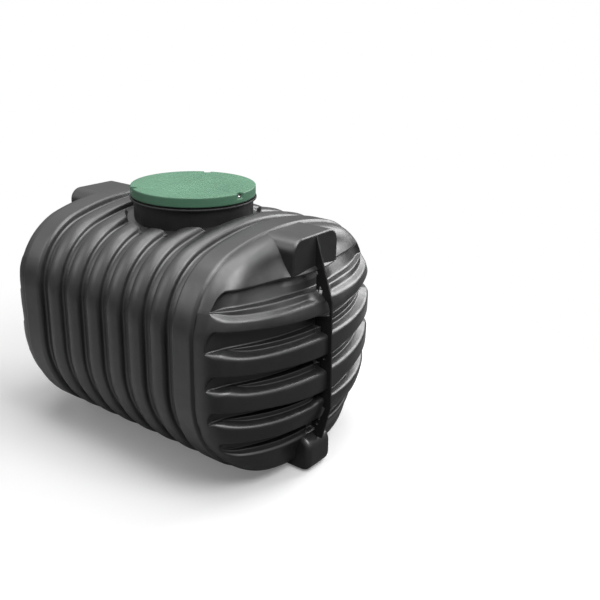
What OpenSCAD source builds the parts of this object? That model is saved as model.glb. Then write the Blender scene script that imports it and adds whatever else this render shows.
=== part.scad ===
// Moulded underground septic tank with a ribbed barrel, two ribbed dished ends,
// a short neck and a round screwed-down lid. Axis along X, +Z up.
// Origin: on the floor, midway between the ends, under the neck's axis.

/* [Barrel section] */
// Half of the tank's width, over the crests of the ring ribs
half_w = 704; // [660:1:740]
// Height of the barrel, over the crests of the ring ribs
barrel_h = 1335; // [1290:1:1380]
// Radius of the shoulders beside the crown
shoulder_r = 410; // [396:7:438]
// Radius of the heels beside the keel
heel_r = 585; // [540:1:620]

/* [Wall] */
// Thickness of the moulded wall
wall = 8; // [6:0.5:11]

/* [Ring ribs] */
// Distance from one ring rib to the next
rib_pitch = 160; // [150:1:175]
// Depth of the valleys between the ring ribs
rib_depth = 38; // [30:1:44]
// Radius of a ring rib's crest
crest_r = 90; // [80:1:110]
// Radius of the corners beside the crest
crest_corner_r = 24; // [20:1:26]
// Angle at which the crest turns into its corners
crest_turn = 24; // [18:1:27]
// Steepness of a ring rib's sides
rib_slope = 72; // [64:1:80]
// Length of the wide end bands, from the last valley to the dished end
band_len = 169; // [150:1:190]
// Step from an end band down to the dished end
band_step = 14; // [8:1:20]

/* [Dished ends] */
// Length of a dished end, from its end band to the belly's foremost point
end_len = 300; // [290:1:312]
// Radius of the knuckle where an end turns away from the barrel
knuckle_r = 172; // [150:1:185]
// Radius of the dish
dish_r = 1300; // [1100:10:1500]
// Distance from an end band to the belly where the tank is widest
belly_side = 95; // [80:1:110]

/* [End ribs] */
// Drop from the barrel's top to the topmost end rib's crest
end_rib_drop = 350; // [330:1:360]
// Height of the lowest end rib's crest
end_rib_low = 185; // [165:1:200]
// Height of an end rib's outer face with its rounded top
end_rib_face = 82; // [60:1:92]
// Rise of the sloping underside of an end rib
end_rib_under = 26; // [15:1:32]
// Height of the lower step of a groove
groove_step = 50; // [36:1:58]
// Height of the chamfer on top of an end rib
end_rib_chamfer = 14; // [8:1:20]
// Depth of the groove floors behind the belly's foremost point
groove_depth = 89; // [75:1:97]
// Distance from an end band to the groove floors where the tank is widest
groove_side = 24; // [18:1:34]
// Depth of the groove steps behind the belly's foremost point
step_depth = 51; // [40:1:60]
// Distance from an end band to the groove steps where the tank is widest
step_side = 21; // [15:1:30]

/* [Pipe blocks] */
// Distance from the belly's foremost point back to a pipe block's face
block_back = 97; // [88:1:110]
// Width of a pipe block
block_w = 372; // [340:1:400]
// Drop from the barrel's top to a pipe block's top
block_drop = 13; // [8:1:25]
// Height of a pipe block
block_h = 183; // [170:1:195]
// Radius of a pipe block's upper corners
block_corner_r = 70; // [50:1:90]

/* [Fins and feet] */
// Thickness of the parting fins
fin_t = 10; // [8:0.5:14]
// How far a fin stands out beyond the belly's foremost point
fin_reach = 26; // [18:1:32]
// Radius of the holes through the fins
fin_hole_r = 8; // [6:0.5:10]
// Distance from the belly's foremost point back to a foot's face
foot_back = 31; // [20:1:45]
// Width of a foot
foot_w = 190; // [160:1:230]
// Height of a foot
foot_h = 185; // [150:1:200]
// Radius of a foot's lower edges
foot_r = 45; // [30:1:60]
// Radius of a foot's nose, seen from the side
foot_nose_r = 85; // [60:1:110]

/* [Neck and lid] */
// Outer radius of the neck where the lid covers it
neck_r = 332; // [320:1:345]
// Thickness of the neck's wall
neck_t = 12; // [9:0.5:14]
// Width of the seat between the neck and the ends of the ring ribs
recess_w = 46; // [36:1:56]
// How far the flange stands out from the neck
flange_w = 18; // [14:1:24]
// Thickness of the flange
flange_t = 11; // [8:1:14]
// How far the lid's edge stands out from the neck
lid_over = 13; // [11:0.5:16]
// Height of the lid's top above the barrel's top
lid_rise = 115; // [105:1:130]
// Height of the lid's skirt
skirt_h = 53; // [45:1:60]
// Thickness of the lid's skirt
skirt_t = 7; // [5:0.5:8]
// Thickness of the lid's plate
lid_t = 10; // [6:1:14]
// Gap between the lid's skirt and the flange
lid_gap = 9; // [5:1:12]
// Width of a notch in the lid's edge
notch_w = 44; // [36:1:56]
// Depth of a notch in the lid's edge
notch_d = 26; // [20:1:32]
// Radius of a lid screw's head
screw_r = 9; // [7:0.5:11]

/* [Hidden] */
RING_COUNT = 6;
END_RIBS = 5;
ENDS = ["front", "rear"];

$fn = 180;
BACK_LAP = 15;
FIN_SEAT_DEPTH = 3;
FIN_DROP = 8;
EDGE = 6;
NOTCH_H = 24;
BLACK = [0.16, 0.16, 0.17];
GREEN = [0.16, 0.32, 0.24];

// The crown and the keel meet the rounder arcs beside them where both lean by this turn.
// It is the small angle of a 7-24-25 triangle, so that the centres fall on round numbers.
TURN_SIN = 0.28;
TURN_COS = 0.96;
// For the same reason the centres lie a whole number of quarter 7-24-25 triangles from the middle.
turn = asin(TURN_SIN);
CENTRE_STEP = 1.75;
heel_y = round((half_w - heel_r) / CENTRE_STEP) * CENTRE_STEP;
heel_arc = half_w - heel_y;
keel_r = heel_arc + heel_y / TURN_SIN;
heel_z = keel_r - (keel_r - heel_arc) * TURN_COS;
shoulder_y = round((half_w - shoulder_r) / CENTRE_STEP) * CENTRE_STEP;
shoulder_arc = half_w - shoulder_y;
crown_r = shoulder_arc + shoulder_y / TURN_SIN;
crown_z = barrel_h - crown_r;
shoulder_z = crown_z + (crown_r - shoulder_arc) * TURN_COS;

// Lengthwise stations, from the neck's axis
barrel_x = RING_COUNT / 2 * rib_pitch;
band_x = barrel_x + band_len;
belly_x = band_x + end_len;
groove_x = belly_x - groove_depth;
step_x = belly_x - step_depth;
block_x = belly_x - block_back;
fin_x = belly_x + fin_reach;
foot_x = belly_x - foot_back;

// Upright arcs of the ends, seen from above, from how far each falls back at the tank's widest
function fall_r(fall) = round((half_w * half_w + fall * fall) / (2 * fall));
belly_r = fall_r(end_len - belly_side);
groove_r = fall_r(end_len - groove_depth - groove_side);
step_r = fall_r(end_len - step_depth - step_side);

// Heights above the floor
end_rib_top = barrel_h - end_rib_drop;
end_rib_pitch = (end_rib_top - end_rib_low) / (END_RIBS - 1);
block_top = barrel_h - block_drop;
block_low = block_top - block_h;
lid_top = barrel_h + lid_rise;
flange_top = lid_top - skirt_h - lid_gap;

// Radii about the neck's axis
recess_r = neck_r + recess_w;
flange_r = neck_r + flange_w;
lid_r = neck_r + lid_over;

// Crest corner and foot of a ring rib's side, from the rib's middle
corner_x = (crest_r - crest_corner_r) * sin(crest_turn);
corner_d = crest_r - (crest_r - crest_corner_r) * cos(crest_turn);
side_x = corner_x + crest_corner_r * sin(rib_slope);
side_d = corner_d - crest_corner_r * cos(rib_slope);
foot_of_side = side_x + (rib_depth - side_d) / tan(rib_slope);

CORE_LAP = 6;
CORE_INSET = shoulder_r - 15;
// Dish: the knuckle's centre and the dish's centre, as [x, inset]. The dish runs on from the
// knuckle and comes level with the belly where the core begins, deep inside the section.
knuckle_c = [band_x, band_step + knuckle_r];
to_core = [belly_x + 1, CORE_INSET] - knuckle_c;
along = (pow(dish_r - knuckle_r, 2) - pow(dish_r, 2) + to_core * to_core) / (2 * norm(to_core));
across = sqrt(pow(dish_r - knuckle_r, 2) - along * along);
dish_c = knuckle_c + (along * to_core + across * [-to_core[1], to_core[0]]) / norm(to_core);
dish_turn = atan2(dish_c[1] - knuckle_c[1], knuckle_c[0] - dish_c[0]);

function arc_pts(c, r, a0, a1, n) =
    [for (i = [0:n]) let (a = a0 + (a1 - a0) * i / n) [c[0] + r * sin(a), c[1] - r * cos(a)]];
function reversed(p) = [for (i = [len(p) - 1:-1:0]) p[i]];
function mirrored(p) = [for (q = reversed(p)) [-q[0], q[1]]];
function snapped(p) = [for (q = p) [round(q[0] * 100) / 100, round(q[1] * 100) / 100]];
function moved(p, x) = [for (q = p) [q[0] + x, q[1]]];

// Right half of a ring rib's outline, drawn inwards by t, as [x, inset] points
function rib_half(t) = concat(
    arc_pts([0, crest_r], crest_r - t, 0, crest_turn, 3),
    arc_pts([corner_x, corner_d], crest_corner_r - t, crest_turn, rib_slope, 4),
    [[foot_of_side - t * tan(rib_slope / 2), rib_depth + t], [rib_pitch / 2, rib_depth + t]]);
function rib_outline(t) = concat(mirrored(rib_half(t)), rib_half(t));

// Outline of an end band from the last valley to the dished end
function band_outline(t) = concat(
    [[0, rib_depth + t], [rib_pitch / 2 - foot_of_side + t * tan(rib_slope / 2), rib_depth + t]],
    moved(mirrored(arc_pts([corner_x, corner_d - band_flat_lift()], crest_corner_r - t,
        0, rib_slope, 5)), rib_pitch / 2),
    [[band_len - band_step - 4, t + 2], [band_len, band_step + t]]);
function band_flat_lift() = corner_d - crest_corner_r;

// Outline of a dished end, from the band to the core
function dish_outline(t, back) = concat(
    [[back, CORE_INSET + CORE_LAP], [back, band_step + t], [band_x, band_step + t]],
    [for (i = [1:6]) let (a = (90 - dish_turn) * i / 6)
        [band_x + (knuckle_r - t) * sin(a), knuckle_c[1] - (knuckle_r - t) * cos(a)]],
    [for (i = [1:6]) dish_point(t, dish_inset(t, i))]);

// The dish's steps from the knuckle to the core, and its outline at an inset
function dish_inset(t, i) = let (start = knuckle_c[1] - (knuckle_r - t) * sin(dish_turn))
    start + (CORE_INSET + CORE_LAP - start) * i / 6;
function dish_point(t, d) = [dish_c[0] + sqrt(pow(dish_r - t, 2) - pow(dish_c[1] - d, 2)), d];

// Sweeps an [x, inset] outline along the section's crown, shoulders, sides, heels and keel
module sweep(p, section = "all") {
    if (section != "lower") {
        middle_run(p, crown_z, crown_r, 180);
        both_sides() sector(p, shoulder_y, shoulder_z, shoulder_arc, 180 - turn, turn - 90);
    }
    both_sides() side_run(p);
    if (section != "upper") {
        both_sides() sector(p, heel_y, heel_z, heel_arc, turn, 90 - turn);
        middle_run(p, keel_r, keel_r, 0);
    }
}

module both_sides() {
    children();
    mirror([0, 1, 0]) children();
}

// Turns an outline about an axis along X; angles start at straight down and open towards +Y
module sector(p, y, z, r, start, sweep_angle) {
    translate([0, y, z]) rotate([0, 90, 0]) rotate([0, 0, start])
        rotate_extrude(angle = sweep_angle) polygon([for (q = snapped(p)) [r - q[1], q[0]]]);
}

// The crown (facing 180) or the keel (facing 0), trimmed to the planes where it meets its neighbours
module middle_run(p, z, r, facing) {
    up = facing == 180 ? 1 : -1;
    intersection() {
        sector(p, 0, z, r, facing - 90, 180);
        translate([-2 * belly_x, 0, z]) rotate([90, 0, 90]) linear_extrude(4 * belly_x)
            polygon([[0, 0], 2 * r * [TURN_SIN, up * TURN_COS], 2 * r * [-TURN_SIN, up * TURN_COS]]);
    }
}

// Runs an outline straight up the side
module side_run(p) {
    translate([0, 0, heel_z]) linear_extrude(shoulder_z - heel_z)
        polygon([for (q = snapped(p)) [q[0], half_w - q[1]]]);
}

// The section as a flat outline, drawn inwards by d, in [y, z]
function section_half(d) = concat(
    [for (i = [0:4]) let (a = turn * i / 4) [(keel_r - d) * sin(a), keel_r - (keel_r - d) * cos(a)]],
    [for (i = [1:10]) let (a = turn + (90 - turn) * i / 10)
        [heel_y + (heel_arc - d) * sin(a), heel_z - (heel_arc - d) * cos(a)]],
    [for (i = [0:10]) let (a = 90 + (90 - turn) * i / 10)
        [shoulder_y + (shoulder_arc - d) * sin(a), shoulder_z - (shoulder_arc - d) * cos(a)]],
    [for (i = [1:4]) let (a = 180 - turn * (1 - i / 4))
        [(crown_r - d) * sin(a), crown_z - (crown_r - d) * cos(a)]]);

module ring_shell(outer, inner) {
    sweep(concat(outer, reversed(inner)));
}

// Everything that the recess round the neck takes away from the ring ribs
module recess_cut() {
    translate([0, 0, shoulder_z]) cylinder(r = recess_r, h = barrel_h);
}

module ring(i) {
    x = (i - (RING_COUNT + 1) / 2) * rib_pitch;
    difference() {
        translate([x, 0, 0]) ring_shell(rib_outline(0), rib_outline(wall));
        recess_cut();
    }
}

module band() {
    translate([barrel_x, 0, 0]) ring_shell(band_outline(0), band_outline(wall));
}

// Solid dished end, drawn inwards by t, from the plane x = back
module dish(t, back = band_x) {
    intersection() {
        union() {
            sweep(dish_outline(t, back));
            translate([back, 0, 0]) rotate([90, 0, 90]) linear_extrude(belly_x + 60 - back)
                polygon(concat(section_half(CORE_INSET), [for (q = reversed(section_half(CORE_INSET))) [-q[0], q[1]]]));
        }
        translate([belly_x - belly_r, 0, -50]) cylinder(r = belly_r - t, h = barrel_h + 100);
    }
}

// Height of the top of end rib i, and of the roof of the groove above it
function end_rib_z(i) = end_rib_top - (i - 1) * end_rib_pitch;
function roof_z(i) = i == 1 ? block_low - 3 : end_rib_z(i - 1) - end_rib_face;

// Groove above end rib i, drawn outwards into the wall by t
module groove(i, t) {
    z = end_rib_z(i);
    roof = roof_z(i);
    step = z + groove_step;
    translate([groove_x - groove_r, 0, 0]) rotate([0, 0, -60]) rotate_extrude(angle = 120)
        polygon([[groove_r - t, step - t], [groove_r - t, roof - end_rib_under + t * 0.4],
            [groove_r + groove_depth, roof + t], [groove_r + end_len, roof + t], [groove_r + end_len, step - t]]);
    translate([step_x - step_r, 0, 0]) rotate([0, 0, -60]) rotate_extrude(angle = 120)
        polygon([[step_r - t, z - t * 0.5], [step_r - t, step + 1], [step_r + end_len, step + 1],
            [step_r + end_len, z - end_rib_chamfer - t], [step_r + step_depth - 7, z - end_rib_chamfer - t],
            [step_r + step_depth - 27, z - t * 0.9]]);
}

module end_form(t, first, last, back = band_x) {
    difference() {
        dish(t, back);
        for (i = [first:last]) groove(i, t);
    }
}

// Slice of the dished end's shell between two heights, with the grooves that reach it
module end_slice(low, high, first, last) {
    intersection() {
        difference() {
            end_form(0, first, last);
            end_form(wall, first, last, band_x - BACK_LAP);
        }
        translate([band_x - 1, -half_w - 10, low]) cube([belly_x, 2 * half_w + 20, high - low]);
    }
}

// Height at which end rib i is parted from the one above: the middle of the groove's floor
function parting_z(i) = (end_rib_z(i) + groove_step + roof_z(i) - end_rib_under) / 2;

module end_rib(i) {
    low = i == END_RIBS ? -1 : parting_z(i + 1);
    end_slice(low, parting_z(i), i, min(i + 1, END_RIBS));
}

module cap() {
    difference() {
        end_slice(parting_z(1), barrel_h + 1, 1, 1);
        block_form(wall);
    }
}

// Solid pipe block, drawn inwards by t
module block_form(t, back = band_x - 2 * BACK_LAP) {
    w = block_w / 2 - t;
    r = block_corner_r - t;
    translate([back, 0, 0]) rotate([90, 0, 90]) linear_extrude(block_x - t - back) union() {
        translate([-w, block_low + t]) square([2 * w, block_top - t - r - block_low - t]);
        translate([-w + r, block_low + t]) square([2 * (w - r), block_top - block_low - 2 * t]);
        for (s = [-1, 1]) translate([s * (w - r), block_top - t - r]) circle(r = r);
    }
}

module pipe_block() {
    difference() {
        block_form(0, band_x);
        block_form(wall);
        dish(0, band_x - BACK_LAP);
        fin_seat();
    }
}

// Shallow slot down the middle of the pipe block's face that takes the fin
module fin_seat() {
    translate([block_x - FIN_SEAT_DEPTH, -fin_t / 2, block_low - 1]) cube([end_len, fin_t, block_h]);
}

module foot_form(t, back = band_x - BACK_LAP) {
    w = foot_w / 2 - t;
    r = foot_r - t;
    nose = foot_nose_r - t;
    intersection() {
        translate([back, 0, 0]) rotate([90, 0, 90]) linear_extrude(foot_x - t - back) union() {
            translate([-w, foot_r]) square([2 * w, foot_h - t - foot_r]);
            translate([-w + r, t]) square([2 * (w - r), foot_h - 2 * t]);
            for (s = [-1, 1]) translate([s * (w - r), t + r]) circle(r = r);
        }
        translate([0, foot_w, 0]) rotate([90, 0, 0]) linear_extrude(2 * foot_w) union() {
            translate([back, t]) square([foot_x - foot_nose_r - back, foot_h - 2 * t]);
            translate([back, foot_nose_r]) square([foot_x - t - back, foot_h - t - foot_nose_r]);
            translate([foot_x - foot_nose_r, foot_nose_r]) circle(r = nose);
        }
    }
}

module foot() {
    difference() {
        foot_form(0, band_x + foot_r);
        foot_form(wall);
        dish(0, band_x - BACK_LAP);
    }
}

module fin() {
    difference() {
        rotate([90, 0, 0]) translate([0, 0, -fin_t / 2]) linear_extrude(fin_t)
            polygon([[band_x + 60, block_low], [block_x, block_top - FIN_DROP], [fin_x - 15, end_rib_z(1)],
                [fin_x, end_rib_z(4) + 50], [fin_x, end_rib_z(4)], [foot_x + FIN_DROP, foot_h], [band_x + 60, foot_h]]);
        end_form(0, 1, END_RIBS, band_x - BACK_LAP);
        difference() {
            block_form(0);
            fin_seat();
        }
        foot_form(0);
        for (c = fin_hole_places()) translate([c[0], 0, c[1]]) rotate([90, 0, 0])
            cylinder(r = fin_hole_r, h = 4 * fin_t, center = true, $fn = 32);
    }
}
// Each hole's place as [x, z]: so far behind the fin's edge, and so far above an end rib
function fin_hole_places() =
    [[fin_x - 91, end_rib_z(1) + 61], [fin_x - 50, end_rib_z(3) + 72], [fin_x - 82, end_rib_z(5) + 78]];

// Outline of all the ring ribs side by side, closed along the inside of their valleys
function rib_row() = concat(
    [for (i = [1:RING_COUNT]) each moved(rib_outline(0), (i - (RING_COUNT + 1) / 2) * rib_pitch)],
    [[barrel_x, rib_depth + wall], [-barrel_x, rib_depth + wall]]);

// Dished seat of the neck, with the low wall round it that closes the cut rib ends
module recess() {
    reach = recess_r + 20;
    difference() {
        intersection() {
            sweep(rib_row(), "upper");
            translate([0, 0, shoulder_z]) cylinder(r = recess_r, h = barrel_h);
        }
        intersection() {
            sweep([[-reach, -20], [reach, -20], [reach, rib_depth], [-reach, rib_depth]], "upper");
            translate([0, 0, shoulder_z]) cylinder(r = recess_r - wall, h = barrel_h);
        }
        translate([0, 0, shoulder_z]) cylinder(r = neck_r - neck_t, h = barrel_h);
    }
}

// Neck, cut off along the seat; its lowest points are where the seat falls away to the sides
module neck() {
    low = crown_z + floor(sqrt(pow(crown_r - rib_depth, 2) - neck_r * neck_r)) - 1;
    deep = shoulder_r / 2;
    difference() {
        rotate_extrude() polygon([[neck_r - neck_t, low], [neck_r - 2, low],
            [neck_r, flange_top - flange_t], [neck_r, lid_top - lid_t], [neck_r - neck_t, lid_top - lid_t]]);
        sweep([[-recess_r, rib_depth], [recess_r, rib_depth], [recess_r, deep], [-recess_r, deep]], "upper");
    }
}

module neck_flange() {
    translate([0, 0, flange_top - flange_t]) difference() {
        cylinder(r = flange_r, h = flange_t);
        translate([0, 0, -1]) cylinder(r = neck_r, h = flange_t + 2);
    }
}

module at_screws() {
    for (a = [0, 120, 240]) rotate([0, 0, a]) translate([lid_r - notch_d / 2 - 2, 0, 0]) children();
}

module lid() {
    difference() {
        rotate_extrude() polygon([[0, lid_top - lid_t], [0, lid_top], [lid_r - EDGE, lid_top],
            [lid_r, lid_top - EDGE], [lid_r, lid_top - skirt_h], [lid_r - skirt_t, lid_top - skirt_h],
            [lid_r - skirt_t, lid_top - lid_t]]);
        for (a = [0, 120, 240]) rotate([0, 0, a]) translate([lid_r - notch_d, -notch_w / 2, lid_top - NOTCH_H])
            cube([2 * notch_d, notch_w, 2 * NOTCH_H]);
    }
}

module lid_screws() {
    at_screws() translate([0, 0, lid_top - lid_t]) cylinder(r = screw_r, h = EDGE);
}

module turned(e) {
    rotate([0, 0, e == "rear" ? 180 : 0]) children();
}

for (i = [1:RING_COUNT])
    color(BLACK) ring(i);
for (e = ENDS) turned(e) {
    color(BLACK) band();
    color(BLACK) cap();
    for (i = [1:END_RIBS])
        color(BLACK) end_rib(i);
    color(BLACK) pipe_block();
    color(BLACK) fin();
    color(BLACK) foot();
}
color(BLACK) recess();  // neck_recess
color(BLACK) neck();
color(BLACK) neck_flange();
color(GREEN) lid();
color("silver") lid_screws();
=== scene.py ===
"""Dress of the moulded septic tank: ribbed barrel, ribbed dished ends, neck, lid and finishes.

Every visible surface but the fins is worked out with numpy from the tank's own sizes, in metres, in the
row frame:
origin on the floor under the neck's axis, +X along the tank, +Z up.
"""

from __future__ import annotations

import logging
import math
from dataclasses import dataclass
from enum import Enum

import bpy
import numpy as np
from mathutils import Matrix, Vector


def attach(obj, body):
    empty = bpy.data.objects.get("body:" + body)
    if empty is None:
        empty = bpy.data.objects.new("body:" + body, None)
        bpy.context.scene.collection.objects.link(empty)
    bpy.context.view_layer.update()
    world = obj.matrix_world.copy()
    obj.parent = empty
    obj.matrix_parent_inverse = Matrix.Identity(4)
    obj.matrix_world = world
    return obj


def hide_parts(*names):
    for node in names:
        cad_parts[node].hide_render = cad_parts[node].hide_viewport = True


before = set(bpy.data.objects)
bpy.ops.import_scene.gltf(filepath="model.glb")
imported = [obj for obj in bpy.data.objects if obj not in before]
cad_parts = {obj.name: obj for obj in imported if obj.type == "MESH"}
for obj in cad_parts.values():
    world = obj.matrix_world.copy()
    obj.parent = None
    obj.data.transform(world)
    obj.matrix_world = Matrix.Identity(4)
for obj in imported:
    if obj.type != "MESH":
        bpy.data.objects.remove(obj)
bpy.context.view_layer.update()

LOG = logging.getLogger("septic_tank")
Array = np.ndarray
Object = bpy.types.Object
Node = bpy.types.Node
Pair = tuple[float, float]
Triple = tuple[float, float, float]
WALL = 0.008
SMOOTH_LIMIT = math.radians(50)
MIRROR_X = (-1.0, 1.0)
MIRROR_Y = (1.0, -1.0, 1.0)


class Slot(Enum):
    """The record's material slots."""

    TANK = "tank"
    NECK = "neck"
    LID = "lid"
    SCREWS = "screws"


class End(Enum):
    """The tank's two alike ends, each with its sign along X."""

    FRONT = 1.0
    REAR = -1.0

    def node(self, part: str) -> str:
        """The name of the end's node for that part."""
        return f"{self.name.lower()}_{part}"

    def turn(self, points: Array) -> Array:
        """The front end's points, turned half round about Z for the rear end."""
        return points * (self.value, self.value, 1.0)


# -------- numbers and curves


def ease(low: float, high: float, value: Array) -> Array:
    """Smooth step from 0 at low to 1 at high: 3t^2 - 2t^3."""
    t = np.clip((value - low) / (high - low), 0.0, 1.0)
    return t * t * (3.0 - 2.0 * t)


def soft_min(a: Array, b: Array, reach: float) -> Array:
    """Smaller of a and b, blended by a parabola where they differ by less than reach."""
    h = np.clip(0.5 + 0.5 * (b - a) / reach, 0.0, 1.0)
    return b + (a - b) * h - reach * h * (1.0 - h)


def soft_max(a: Array, b: Array, reach: float) -> Array:
    """Larger of a and b, blended by a parabola where they differ by less than reach."""
    return -soft_min(-a, -b, reach)


def rounded_path(corners: Array, cuts: Array | list[Array], steps: int) -> tuple[Array, list[int]]:
    """Rounds the corners of a path, for every column at once.

    Each corner is replaced by a parabola that starts and ends at the corner's cut, or at 45% of the
    shorter neighbouring side if that is less. A cut of 0 keeps the corner as one point.

    Args:
        corners: path corners as [corner, column, 2].
        cuts: cut of each corner, as one number or as [column, 1].
        steps: points on each rounded corner, less one.

    Returns:
        The path as [row, column, 2], and the row of each corner's middle.
    """
    rows: list[Array] = []
    middles: list[int] = []
    last = len(corners) - 1
    for k, point in enumerate(corners):
        if k in (0, last) or np.all(cuts[k] <= 0):
            middles.append(len(rows))
            rows.append(point)
            continue
        back, ahead = corners[k - 1] - point, corners[k + 1] - point
        a = np.linalg.norm(back, axis=-1, keepdims=True)
        b = np.linalg.norm(ahead, axis=-1, keepdims=True)
        cut = np.minimum(cuts[k], 0.45 * np.minimum(a, b))
        start = point + back * cut / np.maximum(a, 1e-9)
        end = point + ahead * cut / np.maximum(b, 1e-9)
        middles.append(len(rows) + steps // 2)
        for t in np.linspace(0.0, 1.0, steps + 1):
            rows.append((1 - t) ** 2 * start + 2 * t * (1 - t) * point + t * t * end)
    return np.array(rows), middles


def even_steps(path: Array, spacing: float) -> Array:
    """Resamples a 2-D path at about even arc length, with the path's own ends kept."""
    run = np.concatenate([[0.0], np.cumsum(np.linalg.norm(np.diff(path, axis=0), axis=1))])
    wanted = np.linspace(0.0, run[-1], max(2, int(round(run[-1] / spacing)) + 1))
    return np.stack([np.interp(wanted, run, path[:, k]) for k in range(2)], axis=1)


# -------- meshes


def add_object(name: str, data: bpy.types.ID) -> Object:
    """A new object of that data, linked to the scene."""
    made = bpy.data.objects.new(name, data)
    bpy.context.scene.collection.objects.link(made)
    return made


def make_object(name: str, points: Array, quads: Array) -> Object:
    """Puts numpy points and quads into a smooth mesh object at the origin.

    A quad that has two equal corners becomes a triangle, and one that has fewer than three
    different corners is left out.

    Args:
        name: the object's name.
        points: vertex places as [n, 3].
        quads: vertex numbers as [m, 4], counter-clockwise from outside.

    Returns:
        The linked object.
    """
    same = quads == np.roll(quads, -1, axis=1)
    count = same.sum(axis=1)
    four = quads[count == 0]
    four = four[(four[:, 0] != four[:, 2]) & (four[:, 1] != four[:, 3])]
    thin, at = quads[count == 1], np.argmax(same[count == 1], axis=1)
    three = np.take_along_axis(thin, (at[:, None] + np.array([1, 2, 3])) % 4, axis=1)
    three = three[three[:, 0] != three[:, 2]]
    used, loops = np.unique(np.concatenate([four.ravel(), three.ravel()]), return_inverse=True)
    starts = np.concatenate([np.arange(len(four)) * 4, len(four) * 4 + np.arange(len(three)) * 3])
    mesh = bpy.data.meshes.new(name)
    mesh.vertices.add(len(used))
    mesh.vertices.foreach_set("co", points[used].astype(np.float32).ravel())
    mesh.loops.add(len(loops))
    mesh.loops.foreach_set("vertex_index", loops.astype(np.int32))
    mesh.polygons.add(len(starts))
    mesh.polygons.foreach_set("loop_start", starts.astype(np.int32))
    mesh.polygons.foreach_set("use_smooth", np.ones(len(starts), bool))
    mesh.update(calc_edges=True)
    mesh.validate()
    mesh.set_sharp_from_angle(angle=SMOOTH_LIMIT)
    return add_object(name, mesh)


class Sheet:
    """A surface as a grid of points, from which closed shells are cut row by row.

    Points that fall together, as at a pole, share one vertex. Normals are summed over the whole
    grid, so neighbouring shells meet without a seam.
    """

    def __init__(self, points: Array, flip: bool = False) -> None:
        """Numbers the vertices and works out the normals.

        Args:
            points: the grid as [row, column, 3].
            flip: True if rows x columns run clockwise seen from outside.
        """
        every = points.reshape(-1, 3)
        places = np.round(every * 1e5).astype(np.int64)
        _, first, number = np.unique(places, axis=0, return_index=True, return_inverse=True)
        self.points = every[first]
        ids = number.reshape(points.shape[:2])
        quads = np.stack([ids[:-1, :-1], ids[:-1, 1:], ids[1:, 1:], ids[1:, :-1]], axis=-1)
        self.quads = quads[..., ::-1] if flip else quads
        flat = self.quads.reshape(-1, 4)
        corner = self.points[flat]
        face = np.cross(corner[:, 2] - corner[:, 0], corner[:, 3] - corner[:, 1])
        normal = np.zeros_like(self.points)
        for k in range(4):
            np.add.at(normal, flat[:, k], face)
        self.normals = normal / np.maximum(np.linalg.norm(normal, axis=1, keepdims=True), 1e-12)

    def shell(self, name: str, start: int = 0, stop: int | None = None) -> Object:
        """A closed shell of the rows from start to stop.

        The inner side is the outer one moved against its normals by the wall, and every free edge
        is joined to its inner twin.

        Args:
            name: the object's name.
            start: first row.
            stop: last row, or None for the grid's own.

        Returns:
            The linked object.
        """
        quads = self.quads[start:stop].reshape(-1, 4)
        total = len(self.points)
        inner = self.points - WALL * self.normals
        edges = np.concatenate([quads[:, [k, (k + 1) % 4]] for k in range(4)])
        edges = edges[edges[:, 0] != edges[:, 1]]
        keys = edges[:, 0].astype(np.int64) * total + edges[:, 1]
        twins = edges[:, 1].astype(np.int64) * total + edges[:, 0]
        free = edges[~np.isin(keys, twins)]
        rim = np.stack([free[:, 1], free[:, 0], free[:, 0] + total, free[:, 1] + total], axis=1)
        faces = np.concatenate([quads, quads[:, ::-1] + total, rim])
        return make_object(name, np.concatenate([self.points, inner]), faces)

    def piece(self, node: str, finish: Finish, *rows: int) -> Object:
        """A shell of the rows, dressed as part of the tank in the place of that node."""
        return dress(self.shell(f"{node}_shell", *rows), finish, Slot.TANK, node)

    def solid(self, name: str) -> Object:
        """The whole grid as one closed skin, where its own poles and seams close it."""
        return make_object(name, self.points, self.quads.reshape(-1, 4))


def full_circle(columns: int) -> Array:
    """Angles once round, the last one equal to the first so that the seam closes."""
    angle = np.linspace(0.0, 2.0 * math.pi, columns + 1)
    angle[-1] = 0.0
    return angle


def turned(profile: Array, columns: int) -> Array:
    """Grid of a profile turned about Z: its (radius, height) points are rows, each a full circle."""
    angle = full_circle(columns)
    radius, height = profile[:, 0, None], profile[:, 1, None]
    return np.stack([radius * np.cos(angle), radius * np.sin(angle), height + 0.0 * angle], axis=-1)


# -------- the tank's section


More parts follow.
